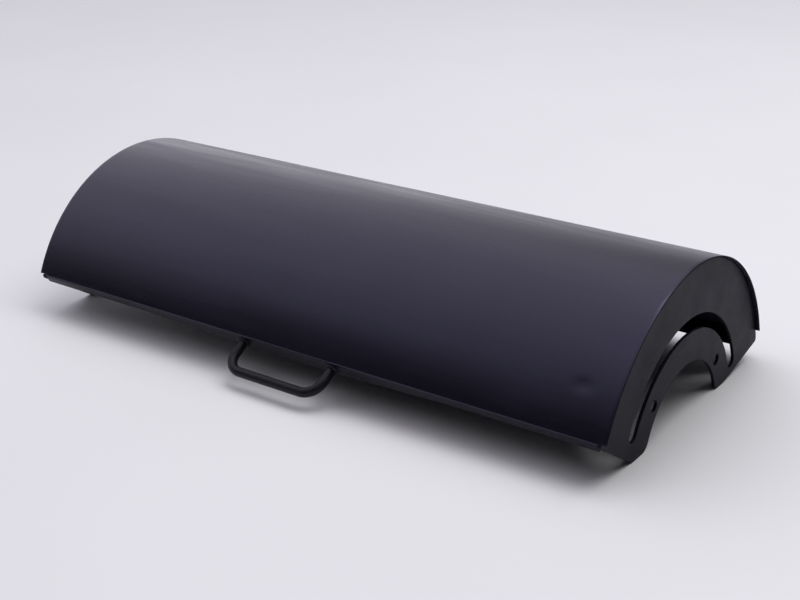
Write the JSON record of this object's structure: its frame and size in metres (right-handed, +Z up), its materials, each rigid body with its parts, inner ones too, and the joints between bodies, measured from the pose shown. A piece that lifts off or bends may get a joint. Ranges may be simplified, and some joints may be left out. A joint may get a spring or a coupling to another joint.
{
  "type": "machine hood",
  "caption": "Half-round sheet-steel hood with folded edges, a round-bar lift handle and saddle-shaped end plates with curved slots and bolt holes.",
  "frame": {"origin": "centre of the bounding box's footprint, on the surface that the four toes stand on", "axes": "+X along the hood's length, -Y towards the lift handle, +Z up"},
  "size_m": [0.857, 0.4518, 0.1916],
  "materials": {
    "shell_paint": "satin black powder coat with a faint blue cast",
    "plate_paint": "satin black powder coat",
    "handle_paint": "slightly textured satin black powder coat",
    "weld_paint": "satin black powder coat over weld beads"
  },
  "bodies": {
    "root": {"shell": "shell_paint", "left_end_plate": "plate_paint", "right_end_plate": "plate_paint", "handle": "handle_paint", "left_stitch_weld_1": "weld_paint", "left_stitch_weld_2": "weld_paint", "left_stitch_weld_3": "weld_paint", "left_stitch_weld_4": "weld_paint", "left_stitch_weld_5": "weld_paint", "left_stitch_weld_6": "weld_paint", "left_stitch_weld_7": "weld_paint", "right_stitch_weld_1": "weld_paint", "right_stitch_weld_2": "weld_paint", "right_stitch_weld_3": "weld_paint", "right_stitch_weld_4": "weld_paint", "right_stitch_weld_5": "weld_paint", "right_stitch_weld_6": "weld_paint", "right_stitch_weld_7": "weld_paint", "left_front_flange_weld": "weld_paint", "left_rear_flange_weld": "weld_paint", "right_front_flange_weld": "weld_paint", "right_rear_flange_weld": "weld_paint", "left_handle_weld": "weld_paint", "right_handle_weld": "weld_paint"}
  },
  "joints": []
}
